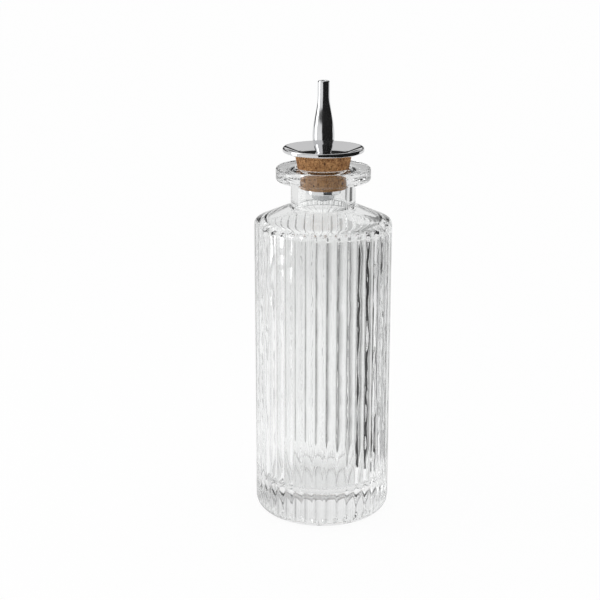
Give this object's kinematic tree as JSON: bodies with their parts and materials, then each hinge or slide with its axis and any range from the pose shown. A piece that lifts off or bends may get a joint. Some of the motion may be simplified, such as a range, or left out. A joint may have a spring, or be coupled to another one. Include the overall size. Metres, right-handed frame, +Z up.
{
  "type": "bitters bottle",
  "caption": "Reeded clear glass bottle with a wide lip, closed by a tapered cork that carries a metal drip saucer and a pear-shaped dasher spout for shaking out drops.",
  "frame": {"origin": "centre of the ring that the bottle stands on", "axes": "+Z up along the bottle's axis towards the spout, +X and +Y across it through rib crests"},
  "size_m": [0.05, 0.05, 0.1612],
  "materials": {
    "clear_glass": "clear pressed glass, fire polished",
    "cork": "natural cork with dark pores, unvarnished",
    "bright_metal": "mirror polished chrome plate",
    "steel": "plain turned stainless steel"
  },
  "bodies": {
    "bottle": {"glass_bottle": "clear_glass"},
    "stopper": {"cork_stopper": "cork", "drip_saucer": "bright_metal", "dasher_spout": "bright_metal", "stem_tube": "steel", "retaining_washer": "bright_metal", "retaining_nut": "steel"}
  },
  "joints": [
    {"name": "stopper_lift", "type": "slide", "parent": "bottle", "child": "stopper", "axis": [0, 0, 1], "range_m": [0, 0.04]}
  ]
}
